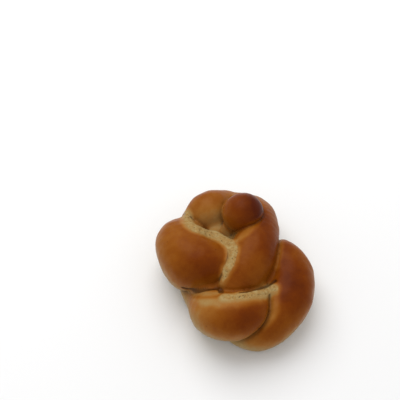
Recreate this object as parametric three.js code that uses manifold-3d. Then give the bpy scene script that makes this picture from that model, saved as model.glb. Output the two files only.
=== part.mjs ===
// A challah roll: one rope of egg dough, knotted through itself and baked into a single piece.
// Millimetres, +Z up. The origin is the middle of the flat underside, and +Y runs along the roll
// to the end where the rope's tip pokes up as a knob.
import * as THREE from "three";
import { mergeVertices } from "three/addons/utils/BufferGeometryUtils.js";
import Module from "manifold-3d";

// The rope's route, stretch by stretch, as [x, y, height, radius] of the dough at each point.
// A lobe is a stretch that lies on top of the knot; a dive takes the rope under the next lobe.
const KNOB = [
  [16.5, 25, 41, 12.8],
  [18, 28.5, 34, 12.5],
  [15, 29.5, 25, 12],
  [6, 29.5, 14, 12.5],
];
const BIG_LEFT_LOBE = [
  [-5.5, 34.5, 12, 13],
  [-17.5, 34, 17, 15],
  [-26.5, 27.5, 25, 17],
  [-26.5, 11.5, 29, 18.2],
  [-18.5, 5.5, 28.5, 16.5],
  [-5, 2, 21, 15],
];
const LOW_RIGHT_LOBE = [
  [9.5, -1.5, 14, 13.5],
  [26, -5.5, 17, 15.5],
  [29, -17.5, 19, 16.2],
  [21, -32.5, 19, 16.2],
  [8, -40.5, 17, 15.3],
  [-5, -42, 14, 14],
];
const RISING_RIGHT_LOBE = [
  [-12.5, -33.5, 12, 13],
  [-12.5, -21.5, 16, 13.5],
  [-6, -15, 25, 14.5],
  [7, -6, 31, 15.5],
  [19, 9, 29, 15],
  [28, 27.5, 21, 13.5],
];
const TOP_LOBE = [
  [27, 38.5, 15, 13],
  [19, 42.5, 16, 13],
  [10, 43, 22, 13.5],
  [1, 42.5, 26.5, 14],
  [-6, 41, 21.5, 13],
  [-16.5, 35, 13, 13],
];
const LOW_LEFT_LOBE = [
  [-24, 15.5, 12, 13],
  [-25.5, -7, 16, 13.5],
  [-27, -23.5, 22, 14.5],
  [-19.5, -34, 27.5, 14.7],
  [-8.5, -35, 25.5, 14],
  [3.5, -28, 16, 12.5],
  [10, -21, 10, 11],
];
const STRETCHES = [
  KNOB,
  BIG_LEFT_LOBE,
  LOW_RIGHT_LOBE,
  RISING_RIGHT_LOBE,
  TOP_LOBE,
  LOW_LEFT_LOBE,
];
const ROUTE = STRETCHES.flat();

const ROPE_STEP = 4; // length of each straight step along the rope
const SAG = 0.7; // dough settles: a depth below the rope's middle counts for this share
const CREASE = 2.5; // how far two touching strands melt into each other
// Balls of dough where strands have risen together: inside the knot, then under three lobes' feet.
const FILLINGS = [
  { centre: [-1, 0, 13], half: [33, 46, 17] },
  { centre: [2, 28, 14], half: [17, 15, 15] },
  { centre: [26, 20, 4], half: [13, 17, 10] },
  { centre: [2, 42, 4], half: [20, 10, 9] },
  { centre: [-25, -30, 4], half: [13, 14, 9] },
];

const SKIN_CENTRE = new THREE.Vector3(0, 0, 10); // the skin is spread outwards from here
const SKIN_START = 90; // outside every part of the roll, seen from SKIN_CENTRE
const SKIN_DETAIL = 19; // each edge of the starting icosahedron is cut into this many plus one
const SKIN_ERROR = 0.02;
const TRACE_STEPS = 200;
const TRACE_SHARE = 0.8; // share of the measured distance that one step may take
const RELAX_ROUNDS = 16; // how often the skin's corners are spread evenly
const RELAX_SHARE = 0.5; // how far a corner moves to the middle of its neighbours
const SETTLE_MOST = 1; // the furthest that a corner is moved back on to the dough at once
const SLOPE_STEP = 0.05;

const BAKED = { color: "#9a5a22", roughness: 0.45, metalness: 0 };

// The rope as short straight steps, each between two round sections, with its stretch's number.
function ropeSteps() {
  const centreline = new THREE.CatmullRomCurve3(
    ROUTE.map(([x, y, z]) => new THREE.Vector3(x, y, z)),
    false,
    "centripetal",
  );
  const count = Math.round(centreline.getLength() / ROPE_STEP);
  const sections = Array.from({ length: count + 1 }, (_, i) => {
    const t = centreline.getUtoTmapping(i / count);
    return { at: centreline.getPoint(t), radius: radiusAlong(t), stretch: stretchAt(t) };
  });
  return sections.slice(1).map((to, i) => [sections[i], to]);
}

function radiusAlong(t) {
  const place = t * (ROUTE.length - 1);
  const before = Math.min(Math.floor(place), ROUTE.length - 2);
  return THREE.MathUtils.lerp(ROUTE[before][3], ROUTE[before + 1][3], place - before);
}

function stretchAt(t) {
  const nearest = ROUTE[Math.round(t * (ROUTE.length - 1))];
  return STRETCHES.findIndex((stretch) => stretch.includes(nearest));
}

// Distance from a point to one step of the rope, less the rope's radius there.
function distanceToStep(point, [from, to]) {
  const along = to.at.clone().sub(from.at);
  const offset = point.clone().sub(from.at);
  const share = THREE.MathUtils.clamp(offset.dot(along) / along.lengthSq(), 0, 1);
  offset.addScaledVector(along, -share);
  if (offset.z < 0) offset.z *= SAG;
  return offset.length() - THREE.MathUtils.lerp(from.radius, to.radius, share);
}

function distanceToFilling(point, { centre, half }) {
  const share = Math.hypot(...half.map((h, i) => (point.getComponent(i) - centre[i]) / h));
  return (share - 1) * Math.min(...half);
}

// The smaller of two distances, eased where they are close to each other.
function melt(a, b) {
  const share = Math.max(CREASE - Math.abs(a - b), 0) / CREASE;
  return Math.min(a, b) - (share * share * CREASE) / 4;
}

function distanceToDough(point, steps) {
  const distances = STRETCHES.map(() => Infinity);
  for (const step of steps) {
    const { stretch } = step[0];
    distances[stretch] = Math.min(distances[stretch], distanceToStep(point, step));
  }
  FILLINGS.forEach((filling) => distances.push(distanceToFilling(point, filling)));
  return distances.reduce(melt);
}

// The outermost point of the dough in one direction from the skin's centre.
function skinPoint(direction, steps) {
  const point = SKIN_CENTRE.clone().addScaledVector(direction, SKIN_START);
  for (let i = 0; i < TRACE_STEPS; i++) {
    const distance = distanceToDough(point, steps);
    if (distance < SKIN_ERROR) break;
    point.addScaledVector(direction, -distance * TRACE_SHARE);
  }
  return point;
}

// Moves a point near the skin straight on to it.
function settle(point, steps) {
  const distance = distanceToDough(point, steps);
  const slope = new THREE.Vector3();
  for (let i = 0; i < 3; i++) {
    const beside = point.clone().setComponent(i, point.getComponent(i) + SLOPE_STEP);
    slope.setComponent(i, (distanceToDough(beside, steps) - distance) / SLOPE_STEP);
  }
  const move = THREE.MathUtils.clamp(distance, -SETTLE_MOST, SETTLE_MOST);
  return point.addScaledVector(slope, -move / slope.lengthSq());
}

// For each corner of a geometry, the corners that it shares an edge with.
function neighbours(geometry) {
  const around = Array.from({ length: geometry.getAttribute("position").count }, () => new Set());
  const index = geometry.index.array;
  for (let i = 0; i < index.length; i += 3) {
    const triangle = index.slice(i, i + 3);
    triangle.forEach((corner) => triangle.forEach((other) => around[corner].add(other)));
  }
  return around.map((set, corner) => [...set].filter((other) => other !== corner));
}

// Each point moved part of the way to the middle of its neighbours.
function relaxed(points, around) {
  return points.map((point, i) => {
    const middle = new THREE.Vector3();
    for (const other of around[i]) middle.add(points[other]);
    return point.clone().lerp(middle.divideScalar(around[i].length), RELAX_SHARE);
  });
}

// An even ball of triangles, each corner drawn in until it lies on the dough.
function doughGeometry() {
  const steps = ropeSteps();
  const geometry = onlyPositions(new THREE.IcosahedronGeometry(1, SKIN_DETAIL));
  const corners = geometry.getAttribute("position");
  const directions = Array.from({ length: corners.count }, (_, i) =>
    new THREE.Vector3().fromBufferAttribute(corners, i).normalize(),
  );
  let points = directions.map((direction) => skinPoint(direction, steps));
  const around = neighbours(geometry);
  for (let round = 0; round < RELAX_ROUNDS; round++)
    points = relaxed(points.map((point) => settle(point, steps)), around);
  points.forEach((point, i) => corners.setXYZ(i, ...point.toArray()));
  return geometry;
}

// A block that fills everything below the tray's surface.
function trayGeometry() {
  const size = 4 * SKIN_START;
  const geometry = new THREE.BoxGeometry(size, size, size);
  return onlyPositions(geometry.translate(0, 0, -size / 2));
}

function onlyPositions(geometry) {
  geometry.deleteAttribute("normal");
  geometry.deleteAttribute("uv");
  return mergeVertices(geometry);
}

const wasm = await Module();
wasm.setup();

function toSolid(geometry) {
  const vertProperties = new Float32Array(geometry.getAttribute("position").array);
  const triVerts = new Uint32Array(geometry.index.array);
  return new wasm.Manifold(new wasm.Mesh({ numProp: 3, vertProperties, triVerts }));
}

function toGeometry(solid) {
  const mesh = solid.getMesh();
  const geometry = new THREE.BufferGeometry();
  geometry.setAttribute("position", new THREE.BufferAttribute(mesh.vertProperties, 3));
  geometry.setIndex(new THREE.BufferAttribute(mesh.triVerts, 1));
  geometry.computeVertexNormals();
  return geometry;
}

// Moves the geometry so that the middle of its underside is the origin.
function standOnOrigin(geometry) {
  geometry.computeBoundingBox();
  const { min, max } = geometry.boundingBox;
  return geometry.translate(-(min.x + max.x) / 2, -(min.y + max.y) / 2, -min.z);
}

function challahRoll() {
  const baked = toSolid(doughGeometry()).subtract(toSolid(trayGeometry()));
  const mesh = new THREE.Mesh(
    standOnOrigin(toGeometry(baked)),
    new THREE.MeshStandardMaterial(BAKED),
  );
  mesh.name = "challah_roll";
  return mesh;
}

const group = new THREE.Group();
group.add(challahRoll());

export default group;
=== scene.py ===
import math

import bmesh
import bpy
import numpy as np
from mathutils import Matrix, Vector, noise


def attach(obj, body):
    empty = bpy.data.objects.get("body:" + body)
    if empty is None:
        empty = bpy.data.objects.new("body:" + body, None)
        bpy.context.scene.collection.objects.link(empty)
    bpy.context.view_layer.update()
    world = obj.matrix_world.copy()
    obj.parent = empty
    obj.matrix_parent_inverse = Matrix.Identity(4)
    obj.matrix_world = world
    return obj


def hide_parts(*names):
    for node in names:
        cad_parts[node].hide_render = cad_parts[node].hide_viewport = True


bl_info = {
    "name": "Challah Roll",
    "version": (1, 0, 0),
    "blender": (4, 5, 0),
    "location": "3D View > Sidebar > Challah Roll",
    "description": "Bakes a plaited egg-bread roll round its plain solid",
    "category": "Add Mesh",
}

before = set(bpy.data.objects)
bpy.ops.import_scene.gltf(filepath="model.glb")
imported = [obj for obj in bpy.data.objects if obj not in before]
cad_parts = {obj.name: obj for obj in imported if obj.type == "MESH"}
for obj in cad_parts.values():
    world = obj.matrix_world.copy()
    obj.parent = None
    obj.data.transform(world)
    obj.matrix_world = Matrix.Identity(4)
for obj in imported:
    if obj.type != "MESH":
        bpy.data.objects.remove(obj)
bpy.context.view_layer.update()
ROLL_NODE = "challah_roll"
MM = 0.001

# The rope's route through the knot, stretch by stretch: x, y, height and radius in millimetres.
KNOB = [
    (16.2, 24.3, 40.5, 13.2),
    (18, 28.5, 34, 12.5),
    (15, 29.5, 25, 12),
    (6, 29.5, 14, 12.5),
]
BIG_LEFT_LOBE = [
    (-5.5, 34.5, 12, 13),
    (-17.5, 34, 17, 15),
    (-26.5, 27.5, 25, 17),
    (-26.5, 11.5, 29, 18.2),
    (-18.5, 5.5, 28.5, 16.5),
    (-5, 2, 21, 15),
]
LOW_RIGHT_LOBE = [
    (9.5, -1.5, 14, 13.5),
    (26, -5.5, 17, 15.5),
    (29, -17.5, 19, 16.2),
    (21, -32.5, 19, 16.2),
    (8, -40.5, 17, 15.3),
    (-5, -42, 14, 14),
]
RISING_RIGHT_LOBE = [
    (-12.5, -33.5, 12, 13),
    (-12.5, -21.5, 16, 13.5),
    (-6, -15, 25, 14.5),
    (7, -6, 31, 15.5),
    (19, 9, 29, 15),
    (28, 27.5, 21, 13.5),
]
TOP_LOBE = [
    (27, 38.5, 15, 13),
    (19, 42.5, 16, 13),
    (10, 43, 22, 13.5),
    (1, 42.5, 26.5, 14),
    (-6, 41, 21.5, 13),
    (-16.5, 35, 13, 13),
]
LOW_LEFT_LOBE = [
    (-24, 15.5, 12, 13),
    (-25.5, -8, 12, 13),
    (-27, -24.5, 22, 14.5),
    (-19.5, -34, 27.5, 14.7),
    (-8.5, -35, 25.5, 14),
    (3.5, -28, 16, 12.5),
    (10, -21, 10, 11),
]
ROUTE = [
    *KNOB,
    *BIG_LEFT_LOBE,
    *LOW_RIGHT_LOBE,
    *RISING_RIGHT_LOBE,
    *TOP_LOBE,
    *LOW_LEFT_LOBE,
]
# Crumb inside the knot and under three lobes' feet, as balls: centre and half sizes.
FILLINGS = [
    ((-1, 0, 13), (33, 46, 17)),
    ((2, 28, 14), (17, 15, 17.5)),
    ((-7, 19, 24), (9, 9, 11.5)),
    ((26, 20, 4), (13, 17, 10)),
    ((2, 42, 4), (20, 10, 9)),
    ((-21, -25, 4), (13, 12, 9)),
]
# Torn dough between lobes that rose apart: x, y, height and half width along the tear.
TEARS = [
    [
        (-14, 45, 31, 1.5),
        (-17.5, 39, 35, 2.2),
        (-19.5, 30, 40.5, 3),
        (-17.5, 25, 41, 3.4),
        (-13, 22.5, 38, 3.3),
        (-8.5, 20, 36, 3),
        (-5, 15.5, 37, 3),
        (-3, 9.5, 39.5, 3.3),
        (-2, 5, 41, 3.4),
        (-3, -1, 42, 3.2),
        (-5.5, -4.5, 42, 3.2),
        (-8, -7.5, 41, 2.9),
        (-11.5, -9.5, 39.5, 2.5),
        (-14, -12, 37.5, 1.9),
        (-16, -14, 35.5, 1.2),
    ],
    [
        (-21.5, -26.5, 41, 1.6),
        (-17.5, -29, 41.5, 2.2),
        (-11.5, -30.5, 41, 2.6),
        (-4.5, -31, 38, 2.9),
        (2.5, -30.5, 34.5, 3),
        (8.5, -29, 32, 3.2),
        (11.5, -30.5, 33.5, 2.4),
    ],
]
# Pale dough that the lobe above it sheltered: x, y, height and half width along the seam.
PALE_SEAMS = [
    [
        (10, -30, 33, 3.5),
        (8.5, -34.5, 33.5, 3.4),
        (7, -39.5, 33, 3),
        (4.5, -44, 32, 2.6),
        (0, -47, 30, 2),
        (-4, -49, 28, 1.5),
    ],
    [
        (-38, -12, 28, 1),
        (-35, -18, 33, 1.5),
        (-31, -23.5, 37, 2.5),
        (-25, -29, 40, 3),
        (-18, -33.5, 42, 3),
        (-9, -35, 41, 3),
        (-1, -35, 38, 3),
        (4, -33.5, 35, 2.5),
    ],
    [
        (-35, -9, 27, 1.5),
        (-31, -13, 31, 2),
        (-26.5, -18, 35, 2.5),
        (-23.5, -20, 36.5, 2),
    ],
    [
        (25.5, 15.5, 44.5, 1),
        (19.5, 12, 44.5, 1.9),
        (13.5, 9, 45, 2.5),
        (9.5, 7.5, 44.5, 2.8),
        (6, 6, 43, 2.4),
    ],
    [
        (33, 1, 29, 1),
        (28.5, -6, 33, 1.1),
        (25, -11, 34, 1.1),
        (20, -17, 33, 1.5),
    ],
]
# Cracks left open under the edge of a lobe, carved into the dough and darkened with painted
# shade: x, y, height and radius.
CRACKS = [
    [
        (-38.6, -2, 25, 0.8),
        (-36.5, -4, 24.8, 0.9),
        (-34.3, -6.4, 26, 1),
        (-32, -9.2, 28.2, 1),
        (-29, -11.8, 30, 1),
        (-26.4, -13.4, 31.2, 1),
        (-23.5, -14.7, 31.8, 1.1),
        (-21, -15.3, 31.8, 1.4),
        (-19.9, -17.3, 32.5, 1.5),
        (-20.6, -20.5, 35.3, 1.3),
    ],
    [
        (-11.4, -27.7, 41, 0.4),
        (-7.4, -27.9, 39.4, 0.6),
        (-2.8, -27.2, 36.8, 0.8),
        (1.5, -27.2, 35.3, 0.9),
        (6.2, -26.5, 33.4, 1),
        (10.6, -26.1, 32.6, 1.1),
        (14.4, -25.6, 32.6, 0.9),
    ],
]
# Where the crust is browner (or paler, below nought): place, reach and amount. Partly the oven's
# browning, partly painted shade on the sides of some lobes and painted light in the knob's shadow
# on the top lobe.
BROWNING_AND_SHADE_PATCHES = [
    ((16, 23.5, 50), 13, 0.08),
    ((25, 20, 46), 10, 0.25),
    ((-24, -3.5, 42), 14, 0.22),
    ((-19, 3.5, 46), 12, 0.05),
    ((19, -5.5, 42), 14, 0.2),
    # painted shade on the rising right lobe's outer side
    ((25, 14, 40), 12, 0.15),
    ((-4, -17.5, 42), 11, 0.1),
    ((-15, -43.5, 38), 12, 0.26),
    ((27, -24.5, 34), 16, 0.18),
    # painted shade on the low side of the low right lobe
    ((20, -43, 28), 17, 0.26),
    ((-3, -54, 22), 13, 0.2),
    ((-34, -37, 31), 12, 0.16),
    ((-36.5, -17, 29.5), 7, 0.12),
    ((-38, -1, 33), 11, 0.13),
    ((38, -22, 24), 12, 0.06),
    ((34, -4, 31), 9, 0.14),
    # painted light in the knob's shadow on the top lobe
    ((-1, 32, 35), 11, -0.22),
    ((-12, 38, 36), 9, -0.1),
    ((5, 18, 30), 8, -0.2),
    ((-36, -24.5, 32), 14, -0.25),
    ((-39, 17.5, 30), 14, -0.06),
]


class RollSizes(bpy.types.PropertyGroup):
    """Sizes of the dough and its skin"""

    skin_step: bpy.props.FloatProperty(
        name="Skin step",
        description="Edge length of the finished skin's faces",
        default=0.63 * MM,
        min=0.3 * MM,
        unit="LENGTH",
        precision=5,
    )
    crease_softness: bpy.props.FloatProperty(
        name="Crease softness",
        description="How far two touching lobes melt into each other",
        default=0.8 * MM,
        unit="LENGTH",
        precision=5,
    )
    crease_depth: bpy.props.FloatProperty(
        name="Crease depth",
        description="Depth of the crack that stays open between two lobes",
        default=1.8 * MM,
        unit="LENGTH",
        precision=5,
    )
    crease_width: bpy.props.FloatProperty(
        name="Crease width",
        description="Width of the crack between two lobes",
        default=1.4 * MM,
        unit="LENGTH",
        precision=5,
    )
    tear_softness: bpy.props.FloatProperty(
        name="Tear softness",
        description="How far torn dough melts into the lobes beside it",
        default=3.0 * MM,
        unit="LENGTH",
        precision=5,
    )
    foot_rounding: bpy.props.FloatProperty(
        name="Foot rounding",
        description="Rounding between the sides and the flat underside",
        default=4.0 * MM,
        unit="LENGTH",
        precision=5,
    )
    lump_height: bpy.props.FloatProperty(
        name="Lump height",
        description="Height of the slow unevenness of the dough",
        default=0.6 * MM,
        unit="LENGTH",
        precision=5,
    )


class CrustColours(bpy.types.PropertyGroup):
    """Colours of the crust and the crumb"""

    crumb: bpy.props.FloatVectorProperty(
        name="Crumb",
        description="Torn, unbaked-looking dough between the lobes",
        subtype="COLOR",
        default=(0.37, 0.265, 0.11),
    )
    pale: bpy.props.FloatVectorProperty(
        name="Pale crust",
        description="Crust low on the sides and beside the tears",
        subtype="COLOR",
        default=(0.32, 0.18, 0.055),
    )
    golden: bpy.props.FloatVectorProperty(
        name="Golden crust",
        description="Lightly baked crust",
        subtype="COLOR",
        default=(0.30, 0.115, 0.018),
    )
    amber: bpy.props.FloatVectorProperty(
        name="Amber crust",
        description="Well baked crust",
        subtype="COLOR",
        default=(0.225, 0.062, 0.004),
    )
    brown: bpy.props.FloatVectorProperty(
        name="Brown crust",
        description="The most browned crust on top of a lobe",
        subtype="COLOR",
        default=(0.15, 0.029, 0.001),
    )
    dark: bpy.props.FloatVectorProperty(
        name="Dark crust",
        description="The knob's nearly burnt top",
        subtype="COLOR",
        default=(0.075, 0.011, 0.002),
    )
    # Painted shade: the near-black colour that stands in for the shadow deep in a crease or
    # crack.
    crack: bpy.props.FloatVectorProperty(
        name="Crack",
        description="Depth of a crack between two lobes",
        subtype="COLOR",
        default=(0.035, 0.012, 0.003),
    )
    # Partly painted shade in small holes of the torn dough, partly the real colour of burnt
    # crumbs.
    pinhole: bpy.props.FloatVectorProperty(
        name="Pinhole",
        description="Small holes and burnt crumbs in the torn dough",
        subtype="COLOR",
        default=(0.10, 0.055, 0.02),
    )


class StudioSettings(bpy.types.PropertyGroup):
    """The floor, the lights and the camera"""

    floor_colour: bpy.props.FloatVectorProperty(
        name="Floor",
        description="Colour of the plain floor",
        subtype="COLOR",
        default=(0.85, 0.85, 0.85),
    )
    sky_strength: bpy.props.FloatProperty(
        name="Sky strength",
        description="Even light from all round",
        default=0.7,
    )
    lamp_strength: bpy.props.FloatProperty(
        name="Lamp strength",
        description="Soft light from behind and above",
        default=1.0,
    )
    camera_azimuth: bpy.props.FloatProperty(
        name="Camera azimuth",
        description="Where the camera stands round the roll",
        default=math.radians(-29),
        subtype="ANGLE",
    )
    camera_elevation: bpy.props.FloatProperty(
        name="Camera elevation",
        description="How far the camera looks down",
        default=math.radians(60),
        subtype="ANGLE",
    )


# --- The dough as distances --------------------------------------------------------------

SAG = 0.7  # dough settles: a depth below the rope's middle counts for this share
CURVE_STEPS = 6  # straight steps between two points of a route
APART = 40  # millimetres along the rope, past which two stretches count as separate strands
PART_SIZE = 4000  # points measured at a time
WEB_SINK = 1.4  # how deep the middle of a tear's web lies, in half widths of the tear
WEB_RADIUS = 1.6  # the web's radius, in half widths of the tear


def catmull_rom(points):
    """A smooth centripetal curve through points, whose radius changes as smoothly."""
    points = np.array(points, float)
    ends = [2 * points[0] - points[1], *points, 2 * points[-1] - points[-2]]
    curve = []
    for corners in zip(ends, ends[1:], ends[2:], ends[3:]):
        gaps = [np.linalg.norm((b - a)[:3]) ** 0.5 for a, b in zip(corners, corners[1:])]
        times = np.cumsum([0, *gaps])
        for t in np.linspace(times[1], times[2], CURVE_STEPS, endpoint=False):
            curve.append(curve_point(corners, times, t))
    return np.array([*curve, points[-1]])


def curve_point(corners, times, t):
    ab, bc, cd = (between(*corners[i : i + 2], *times[i : i + 2], t) for i in range(3))
    abc = between(ab, bc, times[0], times[2], t)
    bcd = between(bc, cd, times[1], times[3], t)
    return between(abc, bcd, times[1], times[2], t)


def between(a, b, start, end, t):
    return a + (b - a) * (t - start) / (end - start)


def step_up(value, low, high):
    """0 below low, 1 above high, and a smooth rise between them."""
    share = np.clip((value - low) / (high - low), 0, 1)
    return share * share * (3 - 2 * share)


class Field:
    """Distances from many points to a piece of dough, and the way each distance grows."""

    def __init__(self, distance, slope):
        self.distance = distance
        self.slope = slope

    def __neg__(self):
        return Field(-self.distance, -self.slope)

    def melt(self, other, softness):
        """The union with another piece, eased over softness where they meet."""
        share = np.clip(0.5 + (other.distance - self.distance) / (2 * softness), 0, 1)
        rest = 1 - share
        distance = share * self.distance + rest * other.distance - softness * share * rest
        slope = share[:, None] * self.slope + rest[:, None] * other.slope
        return Field(distance, slope)


class Rope:
    """A round rope of dough along rows of x, y, height and radius."""

    def __init__(self, rows):
        rows = np.array(rows, np.float32)
        self.start = rows[:-1]
        self.step = rows[1:] - rows[:-1]
        lengths = np.linalg.norm(self.step[:, :3], axis=1)
        self.reach = np.cumsum(lengths) - lengths / 2

    def measure(self, points):
        """Each point's offset from each step of the rope, and its distance to the dough there."""
        along = self.step[:, :3]
        offset = points[:, None, :] - self.start[None, :, :3]
        share = np.clip((offset * along).sum(2) / (along * along).sum(1), 0, 1)
        offset -= share[:, :, None] * along
        offset[:, :, 2] *= np.where(offset[:, :, 2] < 0, SAG, 1)
        radius = self.start[:, 3] + share * self.step[:, 3]
        return offset, np.sqrt((offset * offset).sum(2)) - radius

    def strand(self, offset, distance, steps):
        """The field of one step of the rope for each point."""
        row = np.arange(len(steps))
        offset = offset[row, steps]
        slope = offset / np.maximum(np.linalg.norm(offset, axis=1), 1e-6)[:, None]
        slope[:, 2] *= np.where(offset[:, 2] < 0, SAG, 1)
        return Field(distance[row, steps], slope)

    def field(self, points):
        offset, distance = self.measure(points)
        return self.strand(offset, distance, distance.argmin(1))

    def strands(self, points):
        """The nearest strand and the next one for each point: their steps and their fields."""
        offset, distance = self.measure(points)
        first = distance.argmin(1)
        beside = np.abs(self.reach[None, :] - self.reach[first][:, None]) < APART
        second = np.where(beside, np.inf, distance).argmin(1)
        fields = [self.strand(offset, distance, steps) for steps in (first, second)]
        return first, second, *fields


def ball_field(points, centre, half):
    """Rough distance to a stretched ball."""
    half = np.array(half, float)
    scaled = (points - centre) / half
    share = np.maximum(np.linalg.norm(scaled, axis=1), 1e-6)
    return Field((share - 1) * half.min(), scaled / half / share[:, None] * half.min())


def floor_field(points):
    """Distance above the floor, as the field of everything below it."""
    return Field(points[:, 2], np.tile((0.0, 0.0, 1.0), (len(points), 1)))


def in_parts(measure, points):
    """Calls measure on a few thousand points at a time and joins the columns that it gives."""
    parts = np.array_split(points.astype(np.float32), len(points) // PART_SIZE + 1)
    return [np.concatenate(column) for column in zip(*(measure(part) for part in parts))]


class Dough:
    """The whole roll as a field."""

    def __init__(self, sizes):
        self.crease = sizes.crease_softness / MM
        self.depth = sizes.crease_depth / MM
        self.width = sizes.crease_width / MM
        self.soft = sizes.tear_softness / MM
        self.foot = sizes.foot_rounding / MM
        self.rope = Rope(catmull_rom(ROUTE))
        self.webs = [Rope(catmull_rom([web_point(*row) for row in tear])) for tear in TEARS]
        self.cracks = [Rope(catmull_rom(crack)) for crack in CRACKS]

    def skin(self, points):
        """Each point's distance to the finished skin, and the way it grows."""
        _, _, first, second = self.rope.strands(points)
        gap = second.distance - first.distance
        crack = self.depth * np.exp(-((gap / self.width) ** 2))
        whole = first.melt(second, self.crease)
        whole.distance += crack
        steepness = -2 * gap / self.width**2 * crack
        whole.slope += steepness[:, None] * (second.slope - first.slope)
        for filling in FILLINGS:
            whole = whole.melt(ball_field(points, *filling), self.soft)
        for web in self.webs:
            whole = whole.melt(web.field(points), self.soft)
        for crack in self.cracks:
            whole = -(-whole).melt(crack.field(points), self.crease)
        whole = -(-whole).melt(floor_field(points), self.foot)
        return whole.distance, whole.slope

    def meeting(self, points):
        """How strands meet at each point.

        The gap between them, how much higher the next one runs, how far along the rope the
        nearest one is, and the distance to it.
        """
        first, second, near, far = self.rope.strands(points)
        lead = self.rope.start[second, 2] - self.rope.start[first, 2]
        return far.distance - near.distance, lead, self.rope.reach[first], near.distance


def web_point(x, y, height, half_width):
    """A point of the rope that fills a tear, sunk so that only its top shows."""
    return x, y, height - WEB_SINK * half_width, WEB_RADIUS * half_width


# --- The mesh ----------------------------------------------------------------------------

SETTLE_ROUNDS = (7, 8)  # rounds of settling after each even skin
SETTLE_MOST = 1.2  # millimetres a point moves in one round at the most
LEAST_SQUARE = 0.4  # least squared slope that a move is reckoned with, where slopes cancel out
CALM_ROUNDS = 3  # rounds of calming after the last settling
CALM_SHARE = 0.5  # share of the way to the middle of its neighbours that a point moves

# Layers of noise: share, size in millimetres and seed.
SEED_SHIFT = np.array((17.3, 7.1, 3.7))
LUMPS = ((1, 16, 5), (0.5, 7, 6))
CRUMBS = ((0.55, 2.4, 7), (0.4, 1.3, 8))
RAGGED_EDGE = ((0.6, 4, 1), (0.4, 1.6, 2))
WANDERING_EDGE = ((0.5, 3, 9),)
PATCHES = ((0.06, 22, 3), (0.04, 7, 4))

# Millimetres over which things fade in or out.
FOOT_RISE = (0, 6)  # height over which the skin's unevenness comes in
TEAR_EDGE = (-0.5, 0.4)
# Edge of the painted shade inside an open crack.
CRACK_SHADE_EDGE = (0, 1)
KNOB_END = (14, 19)  # along the rope
CREASE_SHADE_GAP = 1.1
CREASE_SHADE_OWN = (1.5, 3)  # distance to the nearest strand past which a crease gets no painted shade
CRUMB_SINK = 0.25
CRACK_SHADE_RAGGED = 0.4  # share of the ragged edge that the painted shade of an open crack takes
TEAR_CALM = 0.5  # share of the lumps that torn dough loses

# How the crust's browning adds up, from 0 for crumb to 1 for nearly burnt.
BAKE_LEAST = 0.12
BAKE_FACING_UP = 0.2
BAKE_HIGH_UP = 0.28
BAKE_KNOB = 0.12
BAKE_SHELTERED = -0.13
BAKE_BESIDE_TEAR = -0.26
BAKE_BESIDE_SEAM = -0.22


def joined_copy(node):
    """A new object with a frame node's mesh, its triangles joined and its deep pits plugged."""
    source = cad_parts[node]
    bm = bmesh.new()
    bm.from_mesh(source.data)
    bmesh.ops.remove_doubles(bm, verts=bm.verts, dist=0.001 * MM)
    for centre, half in FILLINGS:
        if centre[2] > half[2]:
            place = Matrix.LocRotScale(Vector(centre) * MM, None, Vector(half) * MM)
            bmesh.ops.create_icosphere(bm, subdivisions=3, radius=1, matrix=place)
    mesh = bpy.data.meshes.new("roll")
    bm.to_mesh(mesh)
    bm.free()
    piece = bpy.data.objects.new("roll", mesh)
    bpy.context.scene.collection.objects.link(piece)
    return piece


def remesh(piece, size):
    """Gives a closed piece an even skin of small square faces."""
    skin = piece.modifiers.new("Even skin", "REMESH")
    skin.mode = "VOXEL"
    skin.voxel_size = size
    depsgraph = bpy.context.evaluated_depsgraph_get()
    mesh = bpy.data.meshes.new_from_object(piece.evaluated_get(depsgraph))
    piece.modifiers.remove(skin)
    piece.data = mesh
    mesh.name = piece.name


def read_points(mesh):
    points = np.empty(len(mesh.vertices) * 3)
    mesh.vertices.foreach_get("co", points)
    return points.reshape(-1, 3) / MM


def write_points(mesh, points):
    mesh.vertices.foreach_set("co", (points * MM).ravel())
    mesh.update()


def edge_ends(mesh):
    ends = np.empty(len(mesh.edges) * 2, dtype=np.int64)
    mesh.edges.foreach_get("vertices", ends)
    return ends.reshape(-1, 2).T


def neighbour_mean(values, ends):
    """For each point, the mean of a value over the points that it shares an edge with."""
    a, b = ends
    count = np.bincount(a, minlength=len(values)) + np.bincount(b, minlength=len(values))
    if values.ndim == 1:
        total = np.bincount(a, values[b], len(values)) + np.bincount(b, values[a], len(values))
        return total / count
    return np.stack([neighbour_mean(column, ends) for column in values.T], axis=1)


def settled(points, dough):
    """Points moved on to the dough's skin."""
    distance, slope = in_parts(dough.skin, points)
    square = np.maximum((slope**2).sum(1), LEAST_SQUARE)
    move = np.clip(distance, -SETTLE_MOST, SETTLE_MOST)
    return points - slope * (move / square)[:, None]


def calmer(points, ends):
    """Points moved part of the way to the middle of their neighbours."""
    return points + CALM_SHARE * (neighbour_mean(points, ends) - points)


def noise_at(points, size, seed):
    """Smooth noise from about -1 to 1, whose lumps are about size millimetres across."""
    shifted = points / size + seed * SEED_SHIFT
    return np.array([noise.noise(place) for place in shifted.tolist()])


def noises(points, layers):
    """Some layers of noise added together."""
    return sum(share * noise_at(points, size, seed) for share, size, seed in layers)


def normals_of(mesh):
    normals = np.empty(len(mesh.vertices) * 3)
    mesh.vertex_normals.foreach_get("vector", normals)
    return normals.reshape(-1, 3)


def store(mesh, name, values):
    attribute = mesh.attributes.new(name, "FLOAT", "POINT")
    attribute.data.foreach_set("value", values.astype(np.float32))


def line_distance(points, lines):
    """Distance from each point to the nearest of some lines with half widths, less that width."""
    ropes = [Rope(catmull_rom(line)) for line in lines]
    measured = [in_parts(lambda part: (rope.field(part).distance,), points)[0] for rope in ropes]
    return np.min(measured, axis=0)


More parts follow.
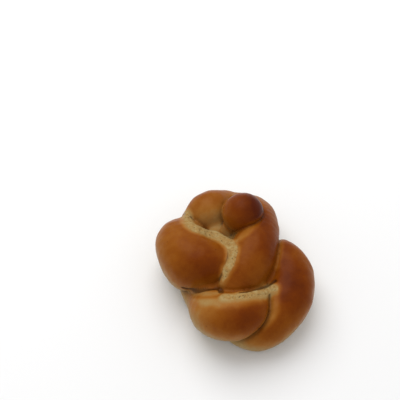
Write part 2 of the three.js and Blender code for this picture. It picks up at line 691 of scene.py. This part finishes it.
def browning(points, normals, meeting, beside_tear, beside_seam):
    """How dark the crust is, from 0 to 1: the oven's browning, with painted shade and painted
    light from some patches.
    """
    gap, lead, reach, own = meeting
    up = step_up(normals[:, 2], -0.5, 0.9)
    high = step_up(points[:, 2], 4, 40)
    brown = BAKE_LEAST + BAKE_FACING_UP * up + BAKE_HIGH_UP * high
    # Patches of browning, painted shade and painted light.
    for place, far, amount in BROWNING_AND_SHADE_PATCHES:
        away = ((points - place) ** 2).sum(1) / far**2
        brown += amount * np.exp(-away)
    brown += BAKE_KNOB * (1 - step_up(reach, *KNOB_END))
    shelter = np.exp(-gap / 2) * step_up(lead, -2, 4)
    brown += BAKE_SHELTERED * np.maximum(shelter, step_up(own, 0.5, 2))
    wander = noises(points, WANDERING_EDGE)
    brown += BAKE_BESIDE_TEAR * (1 - step_up(beside_tear + wander, 0.3, 3.6))
    brown += BAKE_BESIDE_SEAM * (1 - step_up(beside_seam + wander, -1.5, 2.5))
    return np.clip(brown + noises(points, PATCHES), 0, 1)


def crease_shade(meeting):
    """How much painted shade darkens the crease between two strands, from 0 to 1."""
    gap, _, _, own = meeting
    return np.exp(-((gap / CREASE_SHADE_GAP) ** 2)) * (1 - step_up(own, *CREASE_SHADE_OWN))


def settle_roll(piece, sizes):
    """Draws a piece's mesh on to the dough. Gives its points and how strands meet at each."""
    dough = Dough(sizes)
    for rounds in SETTLE_ROUNDS:
        remesh(piece, sizes.skin_step * (1))
        ends = edge_ends(piece.data)
        points = read_points(piece.data)
        for _ in range(rounds):
            points = calmer(settled(points, dough), ends)
        write_points(piece.data, points)
    points = settled(points, dough)
    meeting = in_parts(dough.meeting, points)
    for _ in range(CALM_ROUNDS):
        points = calmer(points, ends)
    write_points(piece.data, points)
    return points, meeting


def shape_roll(sizes):
    """The roll's finished mesh, with the attributes that its crust reads."""
    piece = joined_copy(ROLL_NODE)
    points, meeting = settle_roll(piece, sizes)
    mesh = piece.data
    normals = normals_of(mesh)
    foot = step_up(points[:, 2], *FOOT_RISE)
    beside_tear = line_distance(points, TEARS)
    beside_seam = line_distance(points, PALE_SEAMS)
    beside_crack = line_distance(points, CRACKS)
    ragged = noises(points, RAGGED_EDGE)
    # Painted shade inside the open cracks, with a ragged edge.
    crack_shade = 1 - step_up(beside_crack + CRACK_SHADE_RAGGED * ragged, *CRACK_SHADE_EDGE)
    tear = (1 - step_up(beside_tear + ragged, *TEAR_EDGE)) * (1 - crack_shade)
    relief = sizes.lump_height / MM * noises(points, LUMPS) * (1 - TEAR_CALM * tear)
    relief += tear * (noises(points, CRUMBS) - CRUMB_SINK)
    points += normals * (relief * foot)[:, None]
    points[:, 2] = np.maximum(points[:, 2], 0)
    write_points(mesh, points)
    store(mesh, "tear", tear)
    # The crack attribute is painted shade in the creases between strands and in the open cracks.
    store(mesh, "crack", np.maximum(crease_shade(meeting) * (1 - tear), crack_shade))
    # The bake attribute carries painted shade and painted light as well as the browning.
    store(mesh, "bake", browning(points, normals, meeting, beside_tear, beside_seam))
    for polygon in mesh.polygons:
        polygon.use_smooth = True
    return piece


# --- Shader values as expressions ----------------------------------------------------------


class Value:
    """A socket in a material. Arithmetic on it adds Math nodes."""

    def __init__(self, recipe, socket):
        self.recipe = recipe
        self.socket = socket

    def maths(self, operation, *others):
        return self.recipe.node("Math", {"operation": operation}, dict(enumerate(others)))

    def __add__(self, other):
        return self.maths("ADD", self, other)

    def __mul__(self, other):
        return self.maths("MULTIPLY", self, other)

    def __sub__(self, other):
        return self.maths("SUBTRACT", self, other)

    def __rsub__(self, other):
        return self.maths("SUBTRACT", other, self)

    __radd__ = __add__

    def rise(self, low, high):
        """0 below low, 1 above high, and a smooth rise between them."""
        inputs = {"Value": self, "From Min": low, "From Max": high}
        return self.recipe.node("MapRange", {"interpolation_type": "SMOOTHSTEP"}, inputs)


class Recipe:
    """One material's nodes."""

    def __init__(self, name):
        self.material = bpy.data.materials.new(name)
        self.material.use_nodes = True
        self.tree = self.material.node_tree
        self.tree.nodes.clear()

    def node(self, kind, settings=None, inputs=None, output=0):
        """Adds a node, makes its settings, fills its sockets and gives one of its outputs."""
        made = self.tree.nodes.new("ShaderNode" + kind)
        for name, setting in (settings or {}).items():
            if name == "stops":
                self.set_stops(made.color_ramp, setting)
            else:
                setattr(made, name, setting)
        for name, value in (inputs or {}).items():
            self.fill(made.inputs[name], value)
        return Value(self, made.outputs[output] if made.outputs else None)

    def set_stops(self, ramp, stops):
        while len(ramp.elements) < len(stops):
            ramp.elements.new(0.5)
        for element, (place, colour) in zip(ramp.elements, stops):
            element.position = place
            element.color = (*colour, 1)

    def fill(self, socket, value):
        if isinstance(value, Value):
            self.tree.links.new(value.socket, socket)
        elif hasattr(socket.default_value, "__len__") and len(value) < len(socket.default_value):
            socket.default_value = (*value, 1)
        else:
            socket.default_value = value

    def attribute(self, name):
        return self.node("Attribute", {"attribute_name": name}, output="Fac")

    def place(self):
        return self.node("TexCoord", output="Object")

    def grain(self, size, detail=2.0, roughness=0.5):
        """Noise from 0 to 1 whose lumps are about size across."""
        inputs = {"Scale": 1 / size, "Detail": detail, "Roughness": roughness}
        return self.node("TexNoise", inputs={"Vector": self.place(), **inputs}, output="Fac")

    def dots(self, size):
        """Distance to the nearest of many scattered dots, in parts of size."""
        inputs = {"Vector": self.place(), "Scale": 1 / size}
        return self.node("TexVoronoi", inputs=inputs, output="Distance")

    def mix(self, share, first, second):
        """One colour turning into another as share goes from 0 to 1."""
        inputs = {0: share, 6: first, 7: second}
        return self.node("Mix", {"data_type": "RGBA"}, inputs, output=2)

    def ramp(self, share, stops):
        return self.node("ValToRGB", {"stops": stops}, {0: share})

    def bump(self, height, distance, strength=1.0, under=None):
        inputs = {"Height": height, "Distance": distance, "Strength": strength}
        if under:
            inputs["Normal"] = under
        return self.node("Bump", inputs=inputs)

    def finish(self, **inputs):
        """Ends the recipe with a surface whose sockets take these values."""
        names = {key.replace("_", " "): value for key, value in inputs.items()}
        shader = self.node("BsdfPrincipled", inputs=names)
        self.node("OutputMaterial", inputs={"Surface": shader})
        return self.material


# The crust's colour at each amount of baking.
BAKE_STOPS = (
    (0.08, "crumb"),
    (0.25, "pale"),
    (0.42, "golden"),
    (0.60, "amber"),
    (0.80, "brown"),
    (1.0, "dark"),
)
FRECKLE_SPACING = 9 * MM
PINHOLE_SPACING = 1.7 * MM


def crust_material(colours):
    """Egg-washed crust that browns where the roll's bake attribute says, and torn crumb. The bake
    attribute also carries painted shade and painted light, and the crack attribute is painted
    shade.
    """
    recipe = Recipe("crust")
    tear = recipe.attribute("tear")
    mottle = recipe.grain(6 * MM, 3, 0.6)
    fine = recipe.grain(1.2 * MM, 3, 0.6)
    # The bake attribute holds painted shade and painted light as well as the browning.
    bake = recipe.attribute("bake") + (mottle - 0.5) * 0.2 + (fine - 0.5) * 0.08
    crust = recipe.ramp(bake, [(place, getattr(colours, name)) for place, name in BAKE_STOPS])
    freckle = 1 - recipe.dots(FRECKLE_SPACING).rise(0.03, 0.08)
    crust = recipe.mix(freckle * 0.4, crust, colours.dark)
    # Painted shade in the creases and cracks.
    crust = recipe.mix(recipe.attribute("crack") * 0.75, crust, colours.crack)
    crumb_tone = recipe.grain(2.5 * MM, 4, 0.65)
    crumb = recipe.mix(crumb_tone.rise(0.35, 0.7), colours.pale, colours.crumb)
    # Painted shade in small holes that the torn dough's shape doesn't have.
    pinhole = 1 - recipe.dots(PINHOLE_SPACING).rise(0.18, 0.32)
    crowded = recipe.grain(4 * MM, 2, 0.5).rise(0.42, 0.58)
    # Burnt crumbs, in the same dark colour.
    speck = recipe.grain(0.9 * MM, 2, 0.6).rise(0.6, 0.67)
    crumb = recipe.mix(pinhole * crowded * 0.85, crumb, colours.pinhole)
    crumb = recipe.mix(speck * 0.55, crumb, colours.pinhole)
    colour = recipe.mix(tear, crust, crumb)
    wrinkles = recipe.grain(1.6 * MM, 4, 0.6)
    pores = recipe.grain(0.7 * MM, 2, 0.5)
    normal = recipe.bump(wrinkles, 0.2 * MM, 0.5)
    normal = recipe.bump(pores, 0.1 * MM, 0.4, normal)
    roughness = 0.34 + (mottle - 0.5) * 0.2 + tear * 0.5
    return recipe.finish(
        Base_Color=colour,
        Roughness=roughness,
        Specular_IOR_Level=0.05,
        Normal=normal,
    )


# --- The studio ----------------------------------------------------------------------------

CAMERA_TARGET = Vector((-1.7, -1.9, 22)) * MM
CAMERA_DISTANCE = 600 * MM
CAMERA_TURN = (math.radians(-24.67), math.radians(55.8))  # where the lens points, off the roll
CAMERA_LENS = 83.07
FLOOR_RADIUS = 6
LAMP_PLACE = (180, 60, 1.2)  # azimuth, elevation, and metres from the roll
LAMP_SIZE = 1.2
LAMP_WATTS = 10


def way(azimuth, elevation):
    """From the roll outwards, at an azimuth round it and an elevation above the floor."""
    flat = math.cos(elevation)
    return Vector((math.sin(azimuth) * flat, -math.cos(azimuth) * flat, math.sin(elevation)))


def add_camera(studio):
    data = bpy.data.cameras.new("camera")
    data.lens = CAMERA_LENS
    data.clip_start = 0.01
    camera = bpy.data.objects.new("camera", data)
    bpy.context.scene.collection.objects.link(camera)
    back = way(*CAMERA_TURN)
    right = Vector((math.cos(CAMERA_TURN[0]), math.sin(CAMERA_TURN[0]), 0))
    turn = Matrix((right, back.cross(right), back)).transposed().to_4x4()
    stand = CAMERA_TARGET + way(studio.camera_azimuth, studio.camera_elevation) * CAMERA_DISTANCE
    camera.matrix_world = Matrix.Translation(stand) @ turn
    bpy.context.scene.camera = camera


def add_floor(studio):
    bm = bmesh.new()
    bmesh.ops.create_circle(bm, cap_ends=True, segments=96, radius=FLOOR_RADIUS)
    mesh = bpy.data.meshes.new("floor")
    bm.to_mesh(mesh)
    bm.free()
    floor = bpy.data.objects.new("floor", mesh)
    bpy.context.scene.collection.objects.link(floor)
    recipe = Recipe("floor paint")
    speckle = recipe.grain(3 * MM, 2, 0.5)
    colour = recipe.mix(speckle * 0.03, studio.floor_colour, (0.7, 0.7, 0.7))
    mesh.materials.append(recipe.finish(Base_Color=colour, Roughness=0.9))


def add_lamp(studio):
    data = bpy.data.lights.new("window", "AREA")
    data.shape = "DISK"
    data.size = LAMP_SIZE
    data.energy = LAMP_WATTS * studio.lamp_strength
    lamp = bpy.data.objects.new("window", data)
    bpy.context.scene.collection.objects.link(lamp)
    azimuth, elevation, distance = LAMP_PLACE
    direction = way(math.radians(azimuth), math.radians(elevation))
    turn = direction.to_track_quat("Z", "Y").to_matrix().to_4x4()
    lamp.matrix_world = Matrix.Translation(direction * distance) @ turn


def add_sky(studio):
    world = bpy.data.worlds.new("sky")
    world.use_nodes = True
    background = world.node_tree.nodes["Background"]
    background.inputs["Color"].default_value = (1, 1, 1, 1)
    background.inputs["Strength"].default_value = studio.sky_strength
    bpy.context.scene.world = world


# --- Operators, panel and registration -------------------------------------------------------


class CHALLAH_OT_roll(bpy.types.Operator):
    """Shape and bake the roll"""

    bl_idname = "challah.roll"
    bl_label = "Bake the Roll"

    def execute(self, context):
        piece = shape_roll(context.scene.challah_sizes)
        piece.data.materials.append(crust_material(context.scene.challah_colours))
        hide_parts(ROLL_NODE)
        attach(piece, "root")
        return {"FINISHED"}


class CHALLAH_OT_stage(bpy.types.Operator):
    """Set up the floor, the soft lights and the camera"""

    bl_idname = "challah.stage"
    bl_label = "Set the Stage"

    def execute(self, context):
        studio = context.scene.challah_studio
        context.scene.view_settings.view_transform = "Standard"
        add_floor(studio)
        add_sky(studio)
        add_lamp(studio)
        add_camera(studio)
        return {"FINISHED"}


class CHALLAH_PT_panel(bpy.types.Panel):
    """Sizes, colours and the steps that make the roll"""

    bl_idname = "CHALLAH_PT_panel"
    bl_label = "Challah Roll"
    bl_space_type = "VIEW_3D"
    bl_region_type = "UI"
    bl_category = "Challah Roll"

    def draw(self, context):
        for group_name in GROUPS:
            group = getattr(context.scene, group_name)
            box = self.layout.box()
            for name in group.bl_rna.properties.keys():
                if name not in {"rna_type", "name"}:
                    box.prop(group, name)
        self.layout.operator(CHALLAH_OT_roll.bl_idname)
        self.layout.operator(CHALLAH_OT_stage.bl_idname)


GROUPS = {
    "challah_sizes": RollSizes,
    "challah_colours": CrustColours,
    "challah_studio": StudioSettings,
}
CLASSES = (*GROUPS.values(), CHALLAH_OT_roll, CHALLAH_OT_stage, CHALLAH_PT_panel)


def register():
    for cls in CLASSES:
        bpy.utils.register_class(cls)
    for name, group in GROUPS.items():
        setattr(bpy.types.Scene, name, bpy.props.PointerProperty(type=group))


def unregister():
    for name in GROUPS:
        delattr(bpy.types.Scene, name)
    for cls in reversed(CLASSES):
        bpy.utils.unregister_class(cls)


def main():
    register()
    bpy.ops.challah.roll()
    bpy.ops.challah.stage()


if __name__ == "__main__":
    main()
